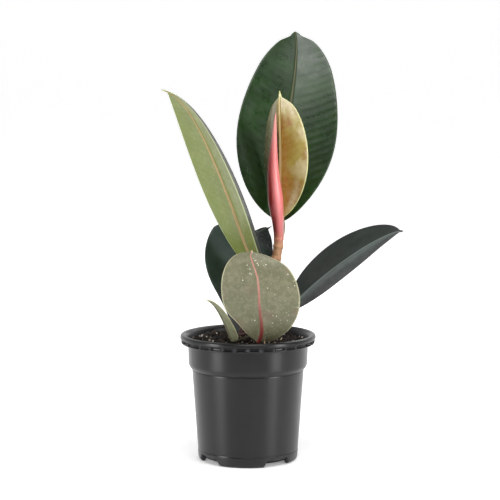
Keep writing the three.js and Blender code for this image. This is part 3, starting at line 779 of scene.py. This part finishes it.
def pot_finish():
    """Satin moulded plastic: faint vertical drag marks, cloudy gloss and a little pale dust."""
    f = Finish("moulded_black_plastic")
    streaks = f.noise(60, 3, 0.6, f.stretched((1, 1, 0.05)))
    cloud = f.noise(26, 4, 0.6)
    color = f.lay(rgb(9, 9, 10), rgb(17, 16, 17), f.spread(cloud, 0.3, 0.7))
    color = f.lay(color, rgb(27, 25, 24), f.spread(streaks, 0.5, 0.75, 0, 0.4))
    # painted shade: the windows under the lip are coloured near black
    color = f.lay(color, rgb(5, 5, 6), f.value_of("window"), 0.9)
    # painted highlight: the posts between the windows are coloured paler
    color = f.lay(color, rgb(60, 60, 66), f.value_of("post"), 0.5)
    where = f.spread(f.noise(33, 2, 0.5), 0.6, 0.66)
    color = f.lay(color, rgb(190, 186, 176), f.spread(f.cells(160), 0.07, 0.03), where, 0.7)
    rough = f.spread(f.math("ADD", streaks, cloud), 0.7, 1.3, 0.3, 0.4, smooth=False)
    grain = f.bump(f.noise(2600, 2, 0.5), 0.08, 0.0002)
    drag = f.bump(streaks, 0.06, 0.0006, grain)
    return f.finish(color, rough, drag, IOR=1.5, Specular_IOR_Level=0.45, Anisotropic=0.7,
                    Anisotropic_Rotation=0.25)


# ---- soil


def soil_height(x, y):
    """The soil's rolling top with finer lumps added."""
    rolling = np.sin(0.13 * x + 1.3) * np.cos(0.11 * y + 0.4)
    lumps = 0.6 * np.sin(0.37 * x - 0.29 * y + 0.7) + 0.4 * np.cos(0.23 * x + 0.41 * y)
    return SOIL_LINE + 0.9 * (rolling + lumps) + 0.35 * ripple(0.9 * x, 0.9 * y, SEED + 2, 3)


def soil_shell():
    """A disc of rings whose height is the rolling soil plus fine lumps, closed by a wall and a floor."""
    turns, rings = 260, 96
    angle = np.linspace(0, 2 * np.pi, turns, endpoint=False)[None, :]
    share = np.linspace(1, 1 / rings, rings)[:, None]
    x, y = SOIL_TOP_RADIUS * share * np.cos(angle), SOIL_TOP_RADIUS * share * np.sin(angle)
    rough = 0.5 * ripple(2.4 * x, 2.4 * y, SEED + 3, 2) + 0.22 * ripple(6 * x, 6 * y, SEED + 4, 1)
    z = soil_height(x, y) + rough
    below = [(42.0, 6.0), (47.9, 80.0), (50.6, 86.0)]
    wall = np.stack([np.stack([r * np.cos(angle[0]), r * np.sin(angle[0]), 0 * angle[0] + h], 1)
                     for r, h in below])
    top = np.stack([x, y, z], -1)
    points = np.concatenate([wall, top]).reshape(-1, 3)
    rows = len(below) + rings
    points = np.vstack([points, [[0, 0, below[0][1]], [0, 0, float(soil_height(0.0, 0.0))]]])
    shell = Shell()
    shell.add(points, grid_faces(rows, turns), caps(rows, turns))
    return shell


def turned(points, random):
    """Points turned by a random rotation, from a random unit quaternion."""
    w, x, y, z = unit(random.normal(size=4))
    matrix = np.array([
        [1 - 2 * (y * y + z * z), 2 * (x * y - w * z), 2 * (x * z + w * y)],
        [2 * (x * y + w * z), 1 - 2 * (x * x + z * z), 2 * (y * z - w * x)],
        [2 * (x * z - w * y), 2 * (y * z + w * x), 1 - 2 * (x * x + y * y)]])
    return points @ matrix.T


def ball(steps):
    """A closed unit ball of latitude rings with one point at each pole: points, quads and triangles."""
    sides = 2 * steps
    lat = np.linspace(-np.pi / 2, np.pi / 2, steps + 1)[1:-1, None]
    lon = np.linspace(0, 2 * np.pi, sides, endpoint=False)[None, :]
    x, y, z = np.cos(lat) * np.cos(lon), np.cos(lat) * np.sin(lon), np.sin(lat) + 0 * lon
    points = np.vstack([np.stack([x, y, z], -1).reshape(-1, 3), [[0, 0, -1], [0, 0, 1]]])
    return points, grid_faces(steps - 1, sides), caps(steps - 1, sides)


LITTER_REACH = 49.5
STEM_CLEARANCE = 8.0


def scatter(count, sizes, random, steps=3, sink=0.35, rough=0.35):
    """Lumps over the soil: dented unit balls, stretched, turned and seated, clear of the stem."""
    points, quads, fans = ball(steps)
    shell = Shell()
    stem = stem_point(0)[:2]
    while count:
        radius = math.sqrt(random.uniform(0, LITTER_REACH**2))
        turn = random.uniform(0, 2 * np.pi)
        x, y = radius * math.cos(turn), radius * math.sin(turn)
        if math.hypot(x - stem[0], y - stem[1]) < STEM_CLEARANCE:
            continue
        half = np.array(sizes) * random.uniform(0.55, 1.45) * random.uniform(0.8, 1.2, 3)
        lump = turned(points * (1 + rough * random.uniform(-1, 1, (len(points), 1))) * half, random)
        seat = soil_height(x, y) + half.min() * (1 - sink)
        shell.add(lump + [x, y, seat], quads, fans, shade=random.uniform())
        count -= 1
    return shell


def grain_finish(name, dark, light, scale, roughness, bump):
    """A rough mineral or bark finish: two colours mixed by noise and by each lump's own shade."""
    f = Finish(name)
    speckle = f.noise(scale, 5, 0.65)
    shade = f.math("ADD", f.times(f.value_of("shade"), 0.6), f.times(speckle, 0.6))
    rough = f.spread(speckle, 0.3, 0.7, roughness - 0.1, roughness)
    return f.finish(f.lay(dark, light, f.spread(shade, 0.2, 0.9)), rough, f.bump(speckle, bump, 0.0008))


# ---- stem, sheath


def stem_shell():
    """A tube along the stem's centre line, tapering upwards, with a low swelling at each leaf's node."""
    route = np.array(STEM_ROUTE, float) + [0, 0, SOIL_LINE]
    path = smooth_route(route, 170)
    above = path[:, 2] - SOIL_LINE
    radius = STEM_RADIUS + (STEM_TOP_RADIUS - STEM_RADIUS) * np.clip((above + 12) / 102, 0, 1)
    for height in STEM_NODES:
        radius = radius + 0.55 * np.exp(-(((above - height) / 1.6) ** 2))
        radius = radius - 0.18 * np.exp(-(((above - height - 3.2) / 0.5) ** 2))

    def bark(ring, run, angle):
        ridges = 0.12 * ripple(4 * np.cos(angle) + 0 * run, 4 * np.sin(angle) + 9 * run, SEED + 5, 3)
        return ring + ridges

    shell = Shell()
    shell.tube(path, radius, 48, around=bark)
    return shell


def stem_finish():
    """Young bark: dark brown and corky low down, pink-tan above, with fine cracks and pale pores."""
    f = Finish("young_bark")
    height, foot = f.axis("Z"), SOIL_LINE * MM
    cork = f.noise(190, 5, 0.65, f.stretched((1, 1, 0.45)))
    low = f.lay(rgb(66, 44, 28), rgb(120, 86, 56), f.spread(cork, 0.35, 0.68))
    high = f.lay(rgb(176, 124, 88), rgb(206, 158, 120), f.spread(cork, 0.35, 0.7))
    color = f.lay(low, high, f.spread(height, foot + 0.045, foot + 0.082))
    color = f.lay(color, rgb(214, 132, 112), f.spread(height, foot + 0.084, foot + 0.09), 0.7)
    color = f.lay(color, rgb(206, 186, 150), f.spread(f.cells(420), 0.2, 0.08), 0.35)
    return f.finish(color, f.spread(cork, 0.3, 0.7, 0.5, 0.72), f.bump(cork, 0.45, 0.0009))


def sheath_shell():
    """The bud sheath: a tube that swells, then tapers to a point, rolled on itself so that one edge
    of the roll stands proud along its length."""
    top = stem_point(STEM_TOP)
    path = smooth_route(np.array(SHEATH_ROUTE, float) + top, 180)
    run = np.linspace(0, 1, len(path))
    base, widest, tip, at = 4.15, 6.35, 0.25, 0.34
    swell = np.where(run < at, smoothstep(0.04, at, run), 1 - np.clip((run - at) / (1 - at), 0, 1) ** 1.1)
    radius = np.where(run < at, base, tip) + (widest - np.where(run < at, base, tip)) * swell

    def rolled(ring, run, angle):
        edge = (angle / (2 * np.pi) + 0.1 * run) % 1.0
        lap = 0.5 * smoothstep(0.0, 0.02, edge) * smoothstep(0.55, 0.05, edge)
        pleats = 0.05 * np.sin(9 * angle + 4 * run) * smoothstep(0, 0.2, run)
        return ring * (1 + 0.05 * np.cos(2 * angle + 1.2)) + lap * np.minimum(ring / 6, 1) + pleats

    shell = Shell()
    shell.tube(path, radius, 72, around=rolled)
    return shell


def sheath_finish():
    """Waxy stipule skin: rose pink with lengthwise streaks, deep red on one flank and pale pink on the
    other: partly the sheath's own colour, partly painted shade on the red flank and a painted highlight on
    the pale side.
    """
    f = Finish("bud_sheath_skin")
    run = f.value_of("run")
    streaks = f.noise(240, 4, 0.6, f.stretched((1, 1, 0.06)))
    # partly the sheath's own red, partly painted shade towards -X and a painted highlight towards +X
    across = f.math("SUBTRACT", f.axis("X"), f.times(f.spread(run, 0, 0.6, 0, 1), -0.005))
    side = f.spread(f.math("SUBTRACT", across, stem_point(STEM_TOP)[0] * MM), -0.004, 0.0022)
    color = f.lay(rgb(150, 40, 40), rgb(230, 130, 130), side)
    color = f.lay(color, rgb(224, 120, 124), f.spread(streaks, 0.4, 0.7, 0, 0.45))
    color = f.lay(color, rgb(236, 170, 156), f.spread(run, 0.62, 0.95, 0, 0.5))
    color = f.lay(color, rgb(206, 140, 104), f.spread(run, 0.1, 0.02, 0, 0.55))
    return f.finish(color, f.spread(streaks, 0.3, 0.7, 0.3, 0.42), f.bump(streaks, 0.18, 0.0005),
                    Coat_Weight=0.3, Coat_Roughness=0.2, Subsurface_Weight=0.12, Subsurface_Scale=0.002)


# ---- add-on


class PlantSizes(bpy.types.PropertyGroup):
    """Sizes and amounts that can be changed."""

    crumbs: bpy.props.IntProperty(
        name="Soil crumbs", description="Peat and bark crumbs on the soil", default=1500, min=1)
    perlite: bpy.props.IntProperty(
        name="Perlite grains", description="White grains on the soil", default=130, min=1)
    straws: bpy.props.IntProperty(
        name="Straws", description="Dry splinters on the soil", default=16, min=1)


class StageLook(bpy.types.PropertyGroup):
    """The floor, the lights and the camera."""

    floor: bpy.props.FloatVectorProperty(
        name="Floor", description="Colour of the floor", subtype="COLOR", size=3, default=(0.9, 0.9, 0.9))
    lens: bpy.props.FloatProperty(name="Lens", description="Focal length in millimetres", default=123.3)
    distance: bpy.props.FloatProperty(
        name="Camera distance", description="From the pot's axis", default=1.5, unit="LENGTH")
    camera_height: bpy.props.FloatProperty(
        name="Camera height", description="Above the floor", default=0.35, unit="LENGTH")
    aim_height: bpy.props.FloatProperty(
        name="Aim height", description="Height of the point it looks at", default=0.1862, unit="LENGTH")


class PLANT_OT_pot(bpy.types.Operator):
    """Build the nursery pot"""

    bl_idname = "plant.pot"
    bl_label = "Pot"

    def execute(self, context):
        piece = pot_shell().mesh("nursery_pot", pot_finish())
        place(piece, ["pot"])
        return {"FINISHED"}


class PLANT_OT_soil(bpy.types.Operator):
    """Build the potting mix and the loose pieces in its top"""

    bl_idname = "plant.soil"
    bl_label = "Soil"

    def execute(self, context):
        sizes = context.scene.plant_sizes
        random = np.random.default_rng(SEED)
        mix = grain_finish("damp_potting_mix", rgb(9, 7, 5), rgb(30, 22, 16), 700, 0.95, 0.9)
        place(soil_shell().mesh("potting_mix", mix), ["potting_soil"])
        crumb = grain_finish("peat_crumbs", rgb(10, 8, 6), rgb(46, 34, 25), 500, 0.92, 0.8)
        crumbs = scatter(sizes.crumbs, (1.1, 0.8, 0.7), random)
        place(crumbs.mesh("peat_crumbs", crumb, smooth=False), [])
        bark = grain_finish("bark_chip", rgb(20, 14, 10), rgb(60, 43, 31), 300, 0.85, 0.8)
        chips = scatter(46, (3.4, 1.8, 0.7), random, steps=6, sink=0.1, rough=0.12)
        place(chips.mesh("bark_chips", bark), names_like("bark_chip"))
        white = grain_finish("perlite_grain", rgb(150, 142, 128), rgb(226, 220, 208), 900, 0.9, 0.7)
        grains = scatter(sizes.perlite, (0.8, 0.75, 0.65), random, steps=5, sink=0.2, rough=0.18)
        place(grains.mesh("perlite_grains", white), names_like("perlite"))
        dry = grain_finish("dry_straw", rgb(120, 94, 62), rgb(206, 184, 146), 400, 0.8, 0.5)
        straws = scatter(sizes.straws, (4.2, 0.35, 0.3), random, steps=6, sink=-0.6, rough=0.06)
        place(straws.mesh("straw_splinters", dry), names_like("straw"))
        return {"FINISHED"}


class PLANT_OT_stem(bpy.types.Operator):
    """Build the stem"""

    bl_idname = "plant.stem"
    bl_label = "Stem"

    def execute(self, context):
        place(stem_shell().mesh("woody_stem", stem_finish()), ["stem"])
        return {"FINISHED"}


class PLANT_OT_sheath(bpy.types.Operator):
    """Build the pink sheath round the bud"""

    bl_idname = "plant.sheath"
    bl_label = "Bud sheath"

    def execute(self, context):
        place(sheath_shell().mesh("pink_bud_sheath", sheath_finish()), ["bud_sheath"])
        return {"FINISHED"}


class PLANT_OT_leaves(bpy.types.Operator):
    """Build every leaf with its stalk and midrib"""

    bl_idname = "plant.leaves"
    bl_label = "Leaves"

    def execute(self, context):
        for seed, (node, leaf) in enumerate(LEAVES.items()):
            finish = leaf_finish(leaf["skin"] + "_leaf_skin", leaf["skin"], leaf["relief"])
            piece = leaf_shell(leaf, seed + 20).mesh("blade_" + node, finish)
            place(piece, [node])
        return {"FINISHED"}


# Each softbox's name, place, aim, width and height in metres, and watts
SOFTBOXES = (
    ("left", (-1.08, -0.64, 0.36), (0, 0, 0.12), 0.4, 0.7, 9),
    ("right", (0.9, -0.64, 0.33), (0, 0, 0.12), 0.3, 0.6, 6),
    ("top", (0.15, -0.75, 1.65), (0, 0, 0.25), 1.0, 1.0, 20),
    ("back", (0.5, 1.3, 1.5), (0, 0, 0.2), 1.2, 1.2, 9),
)
CAMERA_SIDE = 0.0018
AIR_IN_FRONT, AIR_BEHIND = 0.12, 0.45
AIR_TURNS = (-0.7, 0.3)


class PLANT_OT_stage(bpy.types.Operator):
    """Build the floor, the lights and the camera"""

    bl_idname = "plant.stage"
    bl_label = "Stage"

    def execute(self, context):
        look = context.scene.stage_look
        floor_and_wall(tuple(look.floor))
        for softbox in SOFTBOXES:
            soft_light(*softbox)
        world = bpy.data.worlds.new("studio_air")
        world.use_nodes = True
        dim_in_front(world.node_tree)
        context.scene.world = world
        context.scene.view_settings.view_transform = "Standard"
        camera = bpy.data.objects.new("camera", bpy.data.cameras.new("camera"))
        camera.data.lens = look.lens
        camera.data.sensor_width = 36
        camera.location = (CAMERA_SIDE, -look.distance, look.camera_height)
        point_at(camera, (CAMERA_SIDE, 0, look.aim_height))
        context.scene.collection.objects.link(camera)
        context.scene.camera = camera
        return {"FINISHED"}


def names_like(start):
    """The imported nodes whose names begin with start."""
    return sorted(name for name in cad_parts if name.startswith(start))


def point_at(thing, target):
    """Turn a light or camera so that it looks at target."""
    direction = Vector(target) - thing.location
    thing.rotation_euler = direction.to_track_quat("-Z", "Y").to_euler()


def soft_light(name, location, target, wide, tall, power):
    """A rectangular softbox turned towards target."""
    data = bpy.data.lights.new(name, "AREA")
    data.shape = "RECTANGLE"
    data.size, data.size_y = wide, tall
    data.energy = power
    light = bpy.data.objects.new(name, data)
    light.location = location
    point_at(light, target)
    bpy.context.scene.collection.objects.link(light)


def dim_in_front(tree):
    """Air that is dim in front of the plant and brightens to behind it, by the direction's Y."""
    direction = tree.nodes.new("ShaderNodeTexCoord").outputs["Generated"]
    parts = tree.nodes.new("ShaderNodeSeparateXYZ")
    tree.links.new(direction, parts.inputs[0])
    strength = tree.nodes.new("ShaderNodeMapRange")
    ends = zip(("From Min", "From Max", "To Min", "To Max"), (*AIR_TURNS, AIR_IN_FRONT, AIR_BEHIND))
    for socket, value in ends:
        strength.inputs[socket].default_value = value
    tree.links.new(parts.outputs["Y"], strength.inputs["Value"])
    tree.links.new(strength.outputs["Result"], tree.nodes["Background"].inputs["Strength"])
    tree.nodes["Background"].inputs["Color"].default_value = (1, 1, 1, 1)


def floor_and_wall(color):
    """A floor that sweeps up into a back wall: a straight run, a quarter circle and a straight rise. It
    glows behind the plant and far from it, and less where the wall rises out of the picture."""
    front, reach, bend, tall, wide = -14.0, 3.0, 1.5, 4.0, 14.0
    turn = np.linspace(0, np.pi / 2, 24)
    y = np.concatenate([[front], reach + bend * np.sin(turn), [reach + bend]])
    z = np.concatenate([[0], bend - bend * np.cos(turn), [bend + tall]])
    points = np.concatenate([np.stack([0 * y - wide, y, z], 1), np.stack([0 * y + wide, y, z], 1)])
    count = len(y)
    i = np.arange(count - 1)
    quads = np.stack([i, i + count, i + count + 1, i + 1], 1)
    f = Finish("studio_floor")
    shade = f.spread(f.noise(3, 2, 0.5), 0.3, 0.7, 0, 0.15)
    away = f.node("ShaderNodeVectorMath", {0: f.position}, operation="LENGTH").outputs["Value"]
    glow = f.math("MAXIMUM", f.spread(f.axis("Y"), -0.5, 0.6, 0.0, 0.6), f.spread(away, 1.0, 2.0, 0.0, 0.6))
    glow = f.times(glow, f.spread(f.axis("Z"), 0.8, 1.8, 1.0, 0.25))
    finish = f.finish(f.lay(color, shaded(color, 0.97), shade), 0.8,
                      Emission_Color=(1, 1, 1), Emission_Strength=glow)
    shell = Shell()
    shell.add(points / MM, quads)
    shell.mesh("studio_floor", finish)


class PLANT_PT_panel(bpy.types.Panel):
    """Buttons for each piece"""

    bl_idname = "PLANT_PT_panel"
    bl_label = "Rubber plant"
    bl_space_type = "VIEW_3D"
    bl_region_type = "UI"
    bl_category = "Rubber plant"

    def draw(self, context):
        for name in ("crumbs", "perlite", "straws"):
            self.layout.prop(context.scene.plant_sizes, name)
        for name in ("floor", "lens", "distance", "camera_height", "aim_height"):
            self.layout.prop(context.scene.stage_look, name)
        for operator in OPERATORS:
            self.layout.operator(operator.bl_idname)


OPERATORS = (PLANT_OT_stage, PLANT_OT_pot, PLANT_OT_soil, PLANT_OT_stem, PLANT_OT_sheath, PLANT_OT_leaves)
CLASSES = (PlantSizes, StageLook, *OPERATORS, PLANT_PT_panel)


def register():
    """Register the classes and hang their settings on the scene."""
    for cls in CLASSES:
        bpy.utils.register_class(cls)
    bpy.types.Scene.plant_sizes = bpy.props.PointerProperty(type=PlantSizes)
    bpy.types.Scene.stage_look = bpy.props.PointerProperty(type=StageLook)


def unregister():
    """Take the settings and the classes away again."""
    del bpy.types.Scene.stage_look
    del bpy.types.Scene.plant_sizes
    for cls in reversed(CLASSES):
        bpy.utils.unregister_class(cls)


def main():
    """Build the stage and every piece."""
    register()
    bpy.ops.plant.stage()
    bpy.ops.plant.pot()
    bpy.ops.plant.soil()
    bpy.ops.plant.stem()
    bpy.ops.plant.sheath()
    bpy.ops.plant.leaves()


if __name__ == "__main__":
    main()
